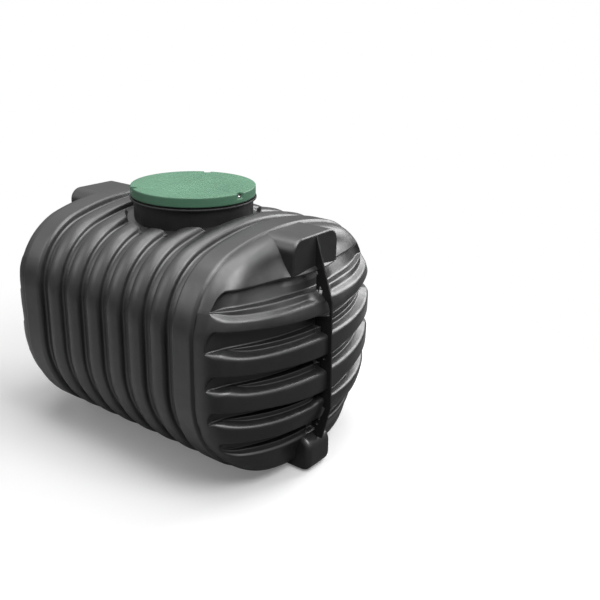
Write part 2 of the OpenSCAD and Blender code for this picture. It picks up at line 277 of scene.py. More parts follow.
@dataclass
class OvalSection:
    """The barrel's outline over its crests: crown, shoulders, straight sides, heels and keel.

    All arcs meet in common tangents, and the keel's centre is as high as its radius.
    """

    half_width: float = 0.704
    height: float = 1.335
    shoulder_r: float = 0.41
    heel_r: float = 0.585
    lean_sin: float = 0.28
    lean_cos: float = 0.96

    def __post_init__(self) -> None:
        """Works out the arcs' centres and radii, and the slope at which crown and keel end."""
        self.lean = self.lean_sin / self.lean_cos
        self.shoulder_y, self.heel_y = self.half_width - self.shoulder_r, self.half_width - self.heel_r
        self.crown_r = self.shoulder_r + self.shoulder_y / self.lean_sin
        self.crown_z = self.height - self.crown_r
        self.shoulder_z = self.crown_z + (self.crown_r - self.shoulder_r) * self.lean_cos
        self.keel_r = self.heel_r + self.heel_y / self.lean_sin
        self.heel_z = self.keel_r - (self.keel_r - self.heel_r) * self.lean_cos

    def inset(self, y: Array, z: Array) -> Array:
        """How far inside the outline a point lies, measured square to the nearest arc."""
        side = np.abs(y)
        crown = (z > self.shoulder_z) & (side < (z - self.crown_z) * self.lean)
        keel = (z < self.heel_z) & (side < (self.keel_r - z) * self.lean)
        arcs = (
            self.keel_r - np.hypot(side, z - self.keel_r),
            self.crown_r - np.hypot(side, z - self.crown_z),
            self.heel_r - np.hypot(np.maximum(side - self.heel_y, 0.0), z - self.heel_z),
            self.shoulder_r - np.hypot(np.maximum(side - self.shoulder_y, 0.0), z - self.shoulder_z),
        )
        zones = [keel, crown, z < self.heel_z, z >= self.shoulder_z]
        return np.select(zones, arcs, self.half_width - side)

    def half_width_at(self, z: Array, inset: float) -> Array:
        """Half the width, at height z, of the outline drawn inwards by inset."""

        def chord(radius: float, off: Array) -> Array:
            return np.sqrt(np.maximum((radius - inset) ** 2 - off**2, 0.0))

        crown, keel = chord(self.crown_r, z - self.crown_z), chord(self.keel_r, z - self.keel_r)
        shoulder = self.shoulder_y + chord(self.shoulder_r, np.maximum(z - self.shoulder_z, 0.0))
        heel = self.heel_y + chord(self.heel_r, np.maximum(self.heel_z - z, 0.0))
        in_crown = (z > self.shoulder_z) & (crown < (z - self.crown_z) * self.lean)
        in_keel = (z < self.heel_z) & (keel < (self.keel_r - z) * self.lean)
        return np.select([in_keel, in_crown], [keel, crown], np.minimum(shoulder, heel))

    def quarter_walk(self, density: float) -> Array:
        """Walk up one side from the keel's middle to the crown's middle.

        Args:
            density: points per metre round the keel and the heel, which grow closer above.

        Returns:
            y, z and the outward normal's two parts, as [4, n].
        """
        lean = math.asin(self.lean_sin)
        arcs = (
            (0.0, self.keel_r, self.keel_r, 0.0, lean, 1.0),
            (self.heel_y, self.heel_z, self.heel_r, lean, math.pi / 2, 1.0),
            (self.shoulder_y, self.shoulder_z, self.shoulder_r, math.pi / 2, math.pi - lean, 1.6),
            (0.0, self.crown_z, self.crown_r, math.pi - lean, math.pi, 3.2),
        )
        walk = []
        for centre_y, centre_z, radius, start, stop, finer in arcs:
            steps = max(4, int(density * finer * radius * (stop - start)))
            angle = np.linspace(start, stop, steps + 1)
            sin, cos = np.sin(angle), np.cos(angle)
            walk.append(np.stack([centre_y + radius * sin, centre_z - radius * cos, sin, -cos]))
        rise = np.linspace(self.heel_z, self.shoulder_z, 26)[1:-1]
        side = np.stack([0.0 * rise + self.half_width, rise, 0.0 * rise + 1.0, 0.0 * rise])
        keel, heel, shoulder, crown = walk
        made = np.concatenate([keel[:, :-1], heel[:, :-1], side, shoulder[:, :-1], crown], axis=1)
        made[0, -1] = 0.0
        return made


SECTION = OvalSection()


# -------- barrel


@dataclass
class Barrel:
    """Six ring ribs and two end bands, as one grid that is parted in the valleys."""

    rings: int = 6
    pitch: float = 0.16
    depth: float = 0.038
    crest_r: float = 0.09
    corner_r: float = 0.024
    crest_turn: float = 24.0
    slope: float = 72.0
    foot_x: float = 0.0548
    shoulder_x: float = 0.0455
    foot_cut: float = 0.009
    band_length: float = 0.169
    band_step: float = 0.014
    recess_r: float = 0.378
    recess_blend: float = 0.011
    recess_reach: float = 0.01
    hole_r: float = 0.392

    def rib_profile(self) -> Array:
        """One ring rib from valley to valley as [row, (x, inset)], at even steps.

        Its right half is the crest's arc, a tighter corner arc and a straight side.
        """
        turn, slope = math.radians(self.crest_turn), math.radians(self.slope)
        first = np.linspace(0.0, turn, 7)[:-1]
        second = np.linspace(turn, slope, 10)
        centre = np.array([(self.crest_r - self.corner_r) * math.sin(turn), 0.0])
        centre[1] = self.crest_r - (self.crest_r - self.corner_r) * math.cos(turn)
        crest = np.stack([self.crest_r * np.sin(first), self.crest_r * (1 - np.cos(first))], axis=1)
        corner = centre + self.corner_r * np.stack([np.sin(second), -np.cos(second)], axis=1)
        run = (self.depth - corner[-1, 1]) / math.tan(slope)
        foot = np.array([corner[-1, 0] + run, self.depth])
        side = np.array([corner[-1], foot, [self.pitch / 2, self.depth]])
        bend, _ = rounded_path(side[:, None, :], [0, self.foot_cut, 0], 5)
        right = np.concatenate([crest, corner[:-1], bend[:, 0]])
        return even_steps(np.concatenate([right[::-1][:-1] * MIRROR_X, right]), 0.0042)

    def band_profile(self) -> Array:
        """An end band from the last valley to the dished end, as [row, (x, inset)]."""
        foot, lip = self.pitch / 2 - self.foot_x, self.pitch / 2 - self.shoulder_x
        valley, end = self.depth, self.band_length
        corners = [(0.0, valley), (foot, valley), (lip, 0.0), (end - 0.01, 0.0), (end, self.band_step)]
        path, _ = rounded_path(np.array(corners)[:, None, :], [0, self.foot_cut, 0.022, 0.008, 0], 6)
        return even_steps(path[:, 0], 0.0045)

    def outline(self) -> tuple[Array, list[int]]:
        """The whole barrel's (x, inset) rows and the rows at which its pieces are parted."""
        rib, band = self.rib_profile(), self.band_profile()
        half = self.rings / 2 * self.pitch
        centres = (np.arange(self.rings) - (self.rings - 1) / 2) * self.pitch
        ribs = [rib[1:] + (centre, 0.0) for centre in centres]
        parts = [band[::-1] * MIRROR_X - (half, 0.0), *ribs, band[1:] + (half, 0.0)]
        return np.concatenate(parts), [0, *(np.cumsum([len(part) for part in parts]) - 1)]

    def surface_inset(self, x: Array, y: Array, profile: Array) -> Array:
        """Inset of the barrel's skin: the rib profile, lowered to the valleys in the neck's recess."""
        near = ease(self.recess_r - self.recess_blend, self.recess_r + 0.004, np.hypot(x, y))
        sunk = self.depth * (1.0 - near)
        off, reach = np.abs(profile - sunk), self.recess_reach
        return soft_max(profile, sunk, reach) - 0.25 * reach * (off < reach) * (1.0 - off / reach) ** 2

    def grid(self) -> tuple[Array, list[int]]:
        """Grid of the barrel's skin, open above the neck's hole.

        Each row is a section at one x, from the hole's edge (or the crown's middle) on one side
        down round the keel and up to the other side.
        """
        rows, cuts = self.outline()
        walk = SECTION.quarter_walk(78)
        x, profile = rows[:, 0, None], rows[:, 1, None]
        edge = np.sqrt(np.maximum(self.hole_r**2 - x**2, 0.0))
        run = np.concatenate([[0.0], np.cumsum(np.hypot(np.diff(walk[0]), np.diff(walk[1])))])
        top = len(run) // 2
        crown = run[-1] - np.interp(edge, walk[0, ::-1][:top], (run[-1] - run)[::-1][:top])
        bend = 0.62 * run[-1]
        share = np.where(run > bend, (run - bend) / (run[-1] - bend), 0.0)
        place = run - share * (run[-1] - crown)
        y, z, ny, nz = (np.interp(place, run, values) for values in walk)
        inset = self.surface_inset(x, y, profile + 0.0 * y) / np.hypot(ny, nz)
        y, z = y - inset * ny, z - inset * nz
        y = np.where(np.abs(y) < 2e-6, 0.0, y)
        half = np.stack([x + 0.0 * y, y, z], axis=-1)
        return np.concatenate([half[:, :0:-1] * MIRROR_Y, half], axis=1), cuts

    def build(self, finish: Finish) -> list[Object]:
        """Builds the rings and the bands and dresses them."""
        points, cuts = self.grid()
        sheet = Sheet(points)
        names = ["rear_band"] + [f"ring_{k + 1}" for k in range(self.rings)] + ["front_band"]
        return [sheet.piece(name, finish, *rows) for name, *rows in zip(names, cuts, cuts[1:])]


@dataclass
class NeckRecess:
    """The round seat of the neck among the ring ribs, with the ribs' rounded ends round it."""

    barrel: Barrel
    inner_r: float = 0.32
    columns: int = 640

    def build(self, finish: Finish) -> list[Object]:
        """Builds the seat as a ring of the barrel's own skin.

        Rows are circles about the neck's axis. A point's height is the crown's, less the inset
        that the barrel has there, so that the seat carries on the rings' surface.
        """
        rows, _ = self.barrel.outline()
        near = self.barrel.recess_r - self.barrel.recess_blend
        flat = np.linspace(self.inner_r, near - 0.004, 6)
        radius = np.concatenate([flat, np.linspace(near, self.barrel.hole_r, 18)])[::-1, None]
        angle = full_circle(self.columns)
        x, y = radius * np.cos(angle), radius * np.sin(angle)
        inset = self.barrel.surface_inset(x, y, np.interp(x, rows[:, 0], rows[:, 1]))
        z = SECTION.crown_z + (SECTION.crown_r - inset) * np.sqrt(1.0 - (y / SECTION.crown_r) ** 2)
        sheet = Sheet(np.stack([x, y, z], axis=-1))
        return [dress(sheet.shell("neck_seat"), finish, Slot.TANK, "neck_recess")]


# -------- dished ends


@dataclass(frozen=True)
class Groove:
    """One groove across an end, as heights at the fin and how they rise towards the sides.

    A height is base + rise * (|y| / 0.6)^power + curl * (|y| / 0.67)^8. Near its nose every height
    closes on the tip, and the depths close on the dome.
    """

    roof: Pair
    lip: Pair
    crest: Triple
    tip: float
    nose: float = 79.5
    least: Pair = (0.052, 0.026)
    floor_x: float = 0.86
    step_x: float = 0.898
    fin_drop: float = 0.0

    def roof_z(self, side: Array) -> Array:
        """Height of the edge above the groove."""
        return self.roof[0] + self.roof[1] * (side / 0.6) ** 1.2

    def lip_z(self, side: Array) -> Array:
        """Height of the upper step's edge."""
        return self.lip[0] + self.lip[1] * (side / 0.6) ** 2

    def crest_z(self, side: Array) -> Array:
        """Height of the rib's crest below the groove, which drops beside the fin by fin_drop."""
        rise = self.crest[1] * (side / 0.6) ** 2 + self.crest[2] * (side / 0.67) ** 8
        return self.crest[0] + rise - self.fin_drop * (1.0 - ease(0.01, 0.115, side))


GROOVES = (
    Groove((1.134, 0), (1.036, 0.01), (0.992, 0.008, 0.04), 1.05, 78.5, (0.066, 0.03), fin_drop=0.006),
    Groove((0.921, 0.038), (0.84, 0.012), (0.8, 0.01, 0.05), 0.856),
    Groove((0.69, 0.044), (0.64, 0.014), (0.597, 0.026, 0.05), 0.662),
    Groove((0.48, 0.06), (0.452, 0.026), (0.414, 0.024, 0.04), 0.47, fin_drop=-0.016),
    Groove((0.302, 0.056), (0.25, 0.035), (0.202, 0.045, 0.03), 0.296, 77, (0.045, 0.022), 0.835, 0.872),
)


@dataclass
class DishedEnd:
    """A dished end with five ribs between its grooves, as one grid parted in the groove floors.

    Columns fan out in plan from the plane where the end begins. A row's points lie where the
    column meets the dish, or the groove's floor or step, which are upright arcs in plan.
    """

    end: End
    band_x: float = 0.649
    step: float = 0.014
    knuckle_r: float = 0.172
    dish_r: float = 0.862
    belly_x: float = 0.949
    belly_r: float = 1.31
    floor_r: float = 1.42
    step_r: float = 1.2
    anchor: float = 0.345
    toe: float = 0.05
    toe_drop: float = 0.009
    columns: int = 232
    under: float = 0.3
    toe_z: Pair = (0.06, 0.24)
    slim: float = 0.044
    slim_z: Pair = (0.86, 1.17)
    slim_end_z: Pair = (1.18, 1.31)
    sill: float = 0.012
    sill_y: Pair = (0.15, 0.25)
    sill_z: Pair = (1.02, 1.1)
    sill_end_z: Pair = (1.141, 1.155)
    turn_reach: float = 0.34
    depth_reach: float = 0.07
    roof_reach: float = 0.04
    lip_reach: float = 0.08
    corner_cuts: tuple[float, ...] = (0.012, 0.014, 0.0, 0.0, 0.0, 0.012, 0.009, 0.0, 0.01, 0.026)

    def dish_x(self, inset: Array) -> Array:
        """Distance along X at which the dish has that inset: a knuckle, then the wide dish."""
        knuckle_d = self.step + self.knuckle_r
        centre_x = self.belly_x + 0.01 - self.dish_r
        off = self.band_x - centre_x
        centre_d = knuckle_d + math.sqrt((self.dish_r - self.knuckle_r) ** 2 - off**2)
        join = knuckle_d - self.knuckle_r * math.sin(math.atan2(centre_d - knuckle_d, off))
        knuckle = self.band_x + np.sqrt(np.maximum(self.knuckle_r**2 - (knuckle_d - inset) ** 2, 0.0))
        dish = centre_x + np.sqrt(self.dish_r**2 - (centre_d - np.minimum(inset, centre_d)) ** 2)
        made = np.where(inset < join, knuckle, dish)
        return np.where(inset < self.step, self.band_x - (self.step - inset), made)

    def dome_x(self, y: Array, z: Array) -> Array:
        """X of the ungrooved end over a point of the section: the dish, flattened by the belly.

        Low down a toe stands out before the dish and hangs a little under it.
        """
        belly = self.belly_x - self.belly_r + np.sqrt(self.belly_r**2 - y**2)
        low = 1.0 - ease(*self.toe_z, z)
        inset = SECTION.inset(y, z) + self.toe_drop * low
        toe = self.toe * low * (1.0 - ease(0.03, 0.17, inset)) * (inset > self.step)
        return soft_min(self.dish_x(inset) + toe, belly, 0.016)

    def anchor_y(self, z: Array) -> Array:
        """How far from the middle the columns start at height z."""
        return soft_min(self.anchor + 0.0 * z, 0.5 * SECTION.half_width_at(z, self.step), 0.03)

    def place(self, reach: Array, z: Array, angle: Array) -> Array:
        """The points at that reach along the columns, as [..., 3]."""
        x = self.band_x + reach * np.cos(angle)
        y = (np.maximum(self.anchor_y(z), 0.0) + reach) * np.sin(angle)
        return np.stack([x, y, z + 0.0 * reach], axis=-1)

    def dome(self, z: Array, angle: Array) -> Array:
        """Reach of the ungrooved end along the columns, found by halving, then slimmed up high.

        The slimming is greatest midway round the corners at the lowest edge of the cap, and fades
        to nothing at the fin, at the barrel and below the second rib. A low sill stands out
        beside the fin under the cap.
        """
        low, high = np.zeros_like(z + angle), np.full_like(z + angle, 0.75)
        for _ in range(34):
            middle = 0.5 * (low + high)
            point = self.place(middle, z, angle)
            inside = self.dome_x(point[..., 1], point[..., 2]) > point[..., 0] + 1e-9
            low, high = np.where(inside, middle, low), np.where(inside, high, middle)
        slim = self.slim * ease(*self.slim_z, z) * np.sin(2.0 * angle) ** 2
        slim = slim * (1.0 - 0.9 * ease(*self.slim_end_z, z))
        side = np.abs(self.place(low, z, angle)[..., 1])
        under_cap = ease(*self.sill_z, z) * (1.0 - ease(*self.sill_end_z, z))
        sill = self.sill * (1.0 - ease(*self.sill_y, side)) * under_cap
        return np.maximum(low - slim, 0.0) + sill

    def arc(self, z: Array, angle: Array, front_x: float, radius: float) -> Array:
        """Reach of an upright arc in plan, with its front on the axis, by the quadratic formula."""
        start = self.anchor_y(z)
        offset = self.band_x - front_x + radius
        b = offset * np.cos(angle) + start * np.sin(angle) ** 2
        c = offset**2 + (start * np.sin(angle)) ** 2 - radius**2
        return -b + np.sqrt(np.maximum(b * b - c, 0.0))

    def groove_points(self, groove: Groove, number: int, angle: Array) -> tuple[list, list]:
        """Corners of one groove from its roof edge to its crest, as (reach, z) for each column.

        The floor's depth is the dome's reach less the floor's arc, or the least depth if that is
        more, and the step's is the same with its own arc. Depths and heights close at the nose by
        a quarter ellipse over the way along the outline. The step fades out beside the fin.

        Args:
            groove: the groove's heights and depths.
            number: 1 for the uppermost.
            angle: the columns' angles.

        Returns:
            The corners and their cuts.
        """
        mid = groove.crest[0] + 0.06 + 0.0 * angle
        side = np.abs(self.place(self.dome(mid, angle), mid, angle)[..., 1])
        way = (math.radians(groove.nose) - np.abs(angle)) * self.turn_reach

        def close(reach: float) -> Array:
            return np.sqrt(1.0 - (1.0 - np.clip(way / reach, 0.0, 1.0)) ** 2)

        def settle(z: Array, reach: float, least: float) -> Array:
            return groove.tip + least + (z - groove.tip - least) * close(reach)

        def sunk(z: Array, bed: Triple) -> Array:
            dome, (front_x, radius, least) = self.dome(z, angle), bed
            depth = soft_max(dome - self.arc(z, angle, front_x, radius), least + 0.0 * dome, 0.01)
            return dome - depth * shut

        floor = (groove.floor_x, self.floor_r, groove.least[0])
        ledge = (groove.step_x, self.step_r, groove.least[1])
        shut = close(self.depth_reach)
        roof = settle(groove.roof_z(side), self.roof_reach, 0.006)
        lip = settle(groove.lip_z(side), self.lip_reach, 0.0)
        crest = np.minimum(settle(groove.crest_z(side), self.lip_reach, -0.006), lip - 0.008)
        dome_roof, dome_crest = self.dome(roof, angle), self.dome(crest, angle)
        low_floor = lip + 0.0015 + 0.004 * shut
        inner_roof = roof - self.under * np.maximum(dome_roof - sunk(roof - 0.02, floor), 0.0) * shut
        inner_roof = np.maximum(inner_roof, low_floor + 0.002 + 0.008 * shut)
        foot = crest + 0.0015 + 0.012 * shut
        step_lip, step_foot = sunk(lip, ledge), sunk(foot, ledge)
        if number == 1:
            slant = 1.0 - ease(0.055, 0.11, side)
            step_foot = step_foot + slant * (step_lip + 0.72 * (dome_crest - step_lip) - step_foot)
            foot = foot + slant * (lip + 0.72 * (crest - lip) - foot)
        else:
            near = 1.0 - ease(0.018, 0.06, side)
            step_lip = step_lip + near * (sunk(lip, floor) - step_lip)
            step_foot = step_foot + near * (sunk(foot, floor) - step_foot)
        walls = [inner_roof + (low_floor - inner_roof) * t for t in (0.0, 0.25, 0.5, 0.75, 1.0)]
        corners = [(dome_roof, roof)] + [(sunk(z, floor), z) for z in walls]
        corners += [(step_lip, lip), (0.5 * (step_lip + step_foot), 0.5 * (lip + foot))]
        corners += [(step_foot, foot), (dome_crest, crest)]
        cuts = [(cut + 0.0 * angle)[:, None] for cut in self.corner_cuts]
        if number == 4:
            cuts[-1] = cuts[-1] + 0.012 * (1.0 - ease(0.08, 0.1, side))[:, None]
        return [np.stack(corner, axis=-1) for corner in corners], cuts

    def grid(self) -> tuple[Array, list[int]]:
        """The end's grid from the top pole to the bottom pole, and the rows that part its pieces."""
        angle = np.linspace(-math.pi / 2, math.pi / 2, self.columns + 1)
        top, bottom = SECTION.height - self.step, self.step - self.toe_drop
        corners: list[Array] = []
        cuts: list[Array] = []
        parting: list[int] = []

        def add_dome(z: Array) -> None:
            corners.append(np.stack([self.dome(z, angle), z], axis=-1))
            cuts.append(np.zeros((len(angle), 1)))

        grooves = [self.groove_points(groove, number, angle) for number, groove in enumerate(GROOVES, 1)]
        edge = grooves[0][0][0][..., 1]
        for t in np.linspace(0.0, 0.93, 34):
            add_dome(top - (top - edge) * t**2 * (0.35 + 0.65 * t))
        for number, (points, groove_cuts) in enumerate(grooves, 1):
            parting.append(len(corners) + 3)
            corners += points
            cuts += groove_cuts
            crest = points[-1][..., 1]
            if number < len(GROOVES):
                foot = grooves[number][0][0][..., 1]
                for t in (0.5, 0.64, 0.78):
                    add_dome(crest + (foot - crest) * t)
            else:
                for t in np.linspace(0.08, 1.0, 34):
                    add_dome(bottom + (crest - bottom) * (1 - t) ** 2)
        path, middles = rounded_path(np.array(corners), cuts, 6)
        points = self.place(path[..., 0], path[..., 1], angle)
        tuck = (0.006, 0.0, 0.0)
        points = np.concatenate([points[:, :1] - tuck, points, points[:, -1:] - tuck], axis=1)
        points[np.abs(points) < 2e-6] = 0.0
        return points, [0] + [middles[k] for k in parting] + [len(path) - 1]

    def build(self, finish: Finish) -> list[Object]:
        """Builds the cap and the ribs and dresses them."""
        points, cuts = self.grid()
        sheet = Sheet(self.end.turn(points), flip=True)
        names = [self.end.node(part) for part in ("cap", *(f"rib_{k}" for k in range(1, 6)))]
        return [sheet.piece(name, finish, *rows) for name, *rows in zip(names, cuts, cuts[1:])]


@dataclass
class PipeBlock:
    """The raised block for a drain pipe: a rounded upright outline carried out to a flat face."""

    end: End
    back_x: float = 0.64
    face_x: float = 0.852
    half_width: float = 0.186
    top: float = 1.322
    low: float = 1.139
    corner_r: float = 0.07
    edge: float = 0.012

    def outline(self, inset: float) -> Array:
        """The block's outline in (y, z), drawn inwards by inset, as an open run over the top."""
        width, top, low = self.half_width - inset, self.top - inset, self.low + inset
        radius = max(self.corner_r - inset, 0.004)
        angle = np.linspace(0.0, math.pi / 2, 13)
        round_it = np.stack([np.cos(angle), np.sin(angle)], axis=1)
        corner = np.array([width - radius, top - radius]) + radius * round_it
        rise = np.linspace(low, top - radius, 12)[:-1]
        side = np.stack([0.0 * rise + width, rise], axis=1)
        over = np.linspace(width - radius, -(width - radius), 24)[1:-1]
        under = np.linspace(-width, width, 30)[1:]
        over, under = (np.stack([y, 0.0 * y + z], axis=1) for y, z in ((over, top), (under, low)))
        left = np.concatenate([corner[::-1], side[::-1]]) * MIRROR_X
        return np.concatenate([side, corner, over, left, under])

    def build(self, finish: Finish) -> list[Object]:
        """Builds the block.

        Rows are the outline at successive x; the front edge turns over a quarter circle, and the
        face's rows shrink to a line along its middle.
        """
        rows = [(x, self.outline(0.0)) for x in np.linspace(self.back_x, self.face_x - self.edge, 16)]
        for turn in np.linspace(0.0, math.pi / 2, 7)[1:]:
            x = self.face_x - self.edge * (1 - math.sin(turn))
            rows.append((x, self.outline(self.edge * (1 - math.cos(turn)))))
        centre = np.array([0.0, 0.5 * (self.top + self.low)])
        edge = self.outline(self.edge)
        rows += [(self.face_x, edge + (centre - edge) * t) for t in np.linspace(0.0, 1.0, 9)[1:]]
        grid = np.array([np.column_stack([np.full(len(yz), x), yz]) for x, yz in rows])
        return [Sheet(self.end.turn(grid)).piece(self.end.node("pipe_block"), finish)]


@dataclass
class Foot:
    """The rounded foot under an end: flat on the floor, and rising in a round nose to the fin."""

    end: End
    back_x: float = 0.74
    nose_x: float = 0.918
    half_width: float = 0.098
    height: float = 0.185
    nose_r: float = 0.06
    corner_r: float = 0.028

    def build(self, finish: Finish) -> list[Object]:
        """Builds the foot as cross-sections carried along its side outline.

        The outline runs along the floor, up the nose and back over the top. A cross-section is
        flat in the middle, turns in a quarter circle and closes towards a spine inside the tank.
        """
        nose, top = self.nose_x, self.height
        corners = [(self.back_x, 0.0), (nose, 0.0), (nose - 0.004, top), (nose - 0.12, top + 0.035)]
        path, _ = rounded_path(np.array(corners)[:, None, :], [0, 1.25 * self.nose_r, 0.06, 0], 16)
        path = even_steps(path[:, 0], 0.006)
        ahead = np.gradient(path, axis=0)
        ahead /= np.linalg.norm(ahead, axis=1, keepdims=True)
        inward = np.stack([-ahead[:, 1], ahead[:, 0]], axis=1)
        turn = np.linspace(0.0, math.pi / 2, 9)
        flat = self.half_width - self.corner_r
        side = np.concatenate([np.linspace(0.0, flat, 6)[:-1], flat + self.corner_r * np.sin(turn)])
        deep = np.concatenate([np.zeros(5), self.corner_r * (1.0 - np.cos(turn))])
        rim = path[:, None] + inward[:, None] * deep[None, :, None]
        spine = np.array([self.nose_x - 0.125, 0.11])
        walls = rim[:, -1:] + (spine - rim[:, -1:]) * np.linspace(0.15, 0.8, 6)[None, :, None]
        half = np.concatenate([rim, walls], axis=1)
        width = np.concatenate([side, np.full(6, self.half_width)])
        right = np.stack([half[..., 0], np.broadcast_to(width, half.shape[:2]), half[..., 1]], axis=-1)
        sheet = Sheet(self.end.turn(np.concatenate([right[:, :0:-1] * MIRROR_Y, right], axis=1)))
        return [sheet.piece(self.end.node("foot"), finish)]


# -------- neck and lid


@dataclass
class Neck:
    """The short upright neck and the flange under the lid, turned about the neck's axis."""

    radius: float = 0.332
    bore: float = 0.32
    low: float = 1.262
    top: float = 1.44
    flange_r: float = 0.35
    flange_top: float = 1.388
    flange_t: float = 0.011

    def ring(self, corners: list[Pair], cuts: list[float], name: str) -> Object:
        """A closed ring of a rounded profile turned about Z."""
        closed = np.array(corners + corners[:1])
        path, _ = rounded_path(closed[:, None, :], cuts + [0.0], 4)
        return Sheet(turned(path[:, 0], 192)).solid(name)

    def build(self, finish: Finish) -> list[Object]:
        """Builds the neck and its flange and dresses them."""
        out, bore, low, top = self.radius, self.bore, self.low, self.top
        corners = [(0.5 * (out + bore), low), (out - 0.001, low), (out, top), (bore, top), (bore, low)]
        neck = self.ring(corners, [0.0, 0.003, 0.003, 0.003, 0.003], "neck_wall")
        rim, seat, top = self.flange_r, out - 0.002, self.flange_top
        low = top - self.flange_t
        corners = [(rim - 0.012, low), (rim, low), (rim, top), (seat, top), (seat, low)]
        flange = self.ring(corners, [0.0, 0.004, 0.005, 0.002, 0.002], "neck_flange_ring")
        return [dress(neck, finish, Slot.NECK, "neck"), dress(flange, finish, Slot.NECK, "neck_flange")]


@dataclass
class Lid:
    """The round screwed lid: a crowned plate with a tread pattern, a skirt and three notches."""

    radius: float = 0.345
    top: float = 1.45
    plate: float = 0.01
    skirt: float = 0.053
    notch_width: float = 0.044
    notch_depth: float = 0.026
    tread_pitch: float = 0.0305
    tread_groove: float = 0.006
    tread_rise: float = 0.0026
    screw_r: float = 0.009
    skirt_t: float = 0.007
    rim_r: float = 0.006
    sill: float = 0.024
    columns: int = 540

    def height(self, x: Array, y: Array) -> Array:
        """Height of the lid's upper face: raised pads between two crossing sets of narrow grooves.

        The grooves along Y are deep and those along X shallow; a plain border keeps the full height.
        """

        def sunk(s: Array, pitch: float, width: float) -> Array:
            off = np.abs((s / pitch + 0.5) % 1.0 - 0.5) * pitch
            return 1.0 - ease(0.5 * width - 0.0012, 0.5 * width + 0.0016, off)

        across = sunk(x, self.tread_pitch, self.tread_groove)
        along = 0.45 * sunk(y + 0.006, self.tread_pitch * 0.8, 0.8 * self.tread_groove)
        inside = 1.0 - ease(self.radius - 0.017, self.radius - 0.012, np.hypot(x, y))
        return self.top - self.tread_rise * np.maximum(across, along) * inside

    def notch(self, angle: Array) -> Array:
        """How deep the edge is cut back at that angle, 1 in the middle of a notch and 0 outside."""
        third = 2.0 * math.pi / 3.0
        off = np.abs((angle + third / 2) % third - third / 2) * self.radius
        return 1.0 - ease(self.notch_width / 2 - 0.005, self.notch_width / 2 + 0.001, off)

    def build(self, finish: Finish, steel: Finish) -> list[Object]:
        """Builds the lid and its three screws.

        The lid's rows run from the middle of the upper face out to the edge, down the skirt, and
        back up inside it to the middle of the under face.
        """
        angle = full_circle(self.columns)
        sin, cos, recess = np.sin(angle), np.cos(angle), self.notch(angle)
        edge = self.radius - recess * self.notch_depth
        rim, skin, rows = self.rim_r, self.skirt_t, []
        for share in np.concatenate([np.linspace(0.0, 0.97, 150), np.linspace(0.975, 1.0, 6)]):
            r = share * (edge - rim)
            rows.append((r, self.height(r * cos, r * sin)))
        for turn in np.linspace(0.0, math.pi / 2, 5)[1:]:
            rows.append((edge - rim * (1 - math.sin(turn)), self.top - rim * (1 - math.cos(turn))))
        low, inner, sill = self.top - self.skirt, self.top - self.plate, self.top - self.sill
        wide, bore, tight = self.radius, self.radius - skin, edge - skin
        rows += [(edge, self.top - 0.5 * self.sill), (edge, sill)]
        rows += [(edge + recess * (self.notch_depth - 0.004), sill - 0.001)]
        rows += [(wide - 0.004 * recess, sill - 0.004)]
        rows += [(wide, z) for z in np.linspace(sill - 0.008, low + 0.003, 6)]
        rows += [(wide - 0.002, low), (wide - 0.006, low), (bore, low + 0.002), (bore, sill - 0.012)]
        rows += [(tight, sill - 0.009), (tight, inner), (0.5 * tight, inner), (0.0, inner)]
        grid = np.array([np.stack([r * cos, r * sin, z + 0.0 * angle], axis=-1) for r, z in rows])
        lid = dress(Sheet(grid, flip=True).solid("lid_plate"), finish, Slot.LID, "lid")
        return [lid, self.screws(steel)]

    def screws(self, steel: Finish) -> Object:
        """Three pan heads with washers, each a turned profile with a pole on top."""
        head, washer, seat = self.screw_r - 0.0005, self.screw_r + 0.003, self.top - self.sill
        profile = np.array(
            [(0.0, 0.009), (0.004, 0.0088), (0.0075, 0.007), (head, 0.004), (head, 0.0016)]
            + [(washer, 0.0016), (washer, 0.0), (0.0, -0.002)]
        )
        grid = turned(profile + (0.0, seat), 28)
        points, quads, base = [], [], 0
        for turn in (0.0, 2 * math.pi / 3, 4 * math.pi / 3):
            out = self.radius - self.notch_depth / 2
            sheet = Sheet(grid + (out * math.cos(turn), out * math.sin(turn), 0.0), flip=True)
            points.append(sheet.points)
            quads.append(sheet.quads.reshape(-1, 4) + base)
            base += len(sheet.points)
        made = make_object("lid_screw_heads", np.concatenate(points), np.concatenate(quads))
        return dress(made, steel, Slot.SCREWS, "lid_screws")


# -------- finishes


class Graph:
    """A node tree under construction."""

    def __init__(self, tree: bpy.types.NodeTree) -> None:
        """Empties the tree."""
        tree.nodes.clear()
        self.tree = tree

    def add(self, kind: str, inputs: dict | None = None, **settings: str) -> Node:
        """Adds a node.

        Args:
            kind: the node's type, without its first word.
            inputs: a constant, a socket, or a node whose first output is meant, for each input.
            settings: the node's own settings.

        Returns:
            The node.
        """
        node = self.tree.nodes.new(f"ShaderNode{kind}")
        for key, value in settings.items():
            setattr(node, key, value)
        for key, value in (inputs or {}).items():
            if isinstance(value, Node):
                value = value.outputs[0]
            if isinstance(value, bpy.types.NodeSocket):
                self.tree.links.new(value, node.inputs[key])
            else:
                node.inputs[key].default_value = value
        return node

    def mapped(self, value: object, span: Pair, onto: Pair, kind: str = "SMOOTHSTEP") -> Node:
        """Adds a map range node that takes one span of values onto another."""
        inputs = {"Value": value, "From Min": span[0], "From Max": span[1]}
        inputs |= {"To Min": onto[0], "To Max": onto[1]}
        return self.add("MapRange", inputs, interpolation_type=kind)


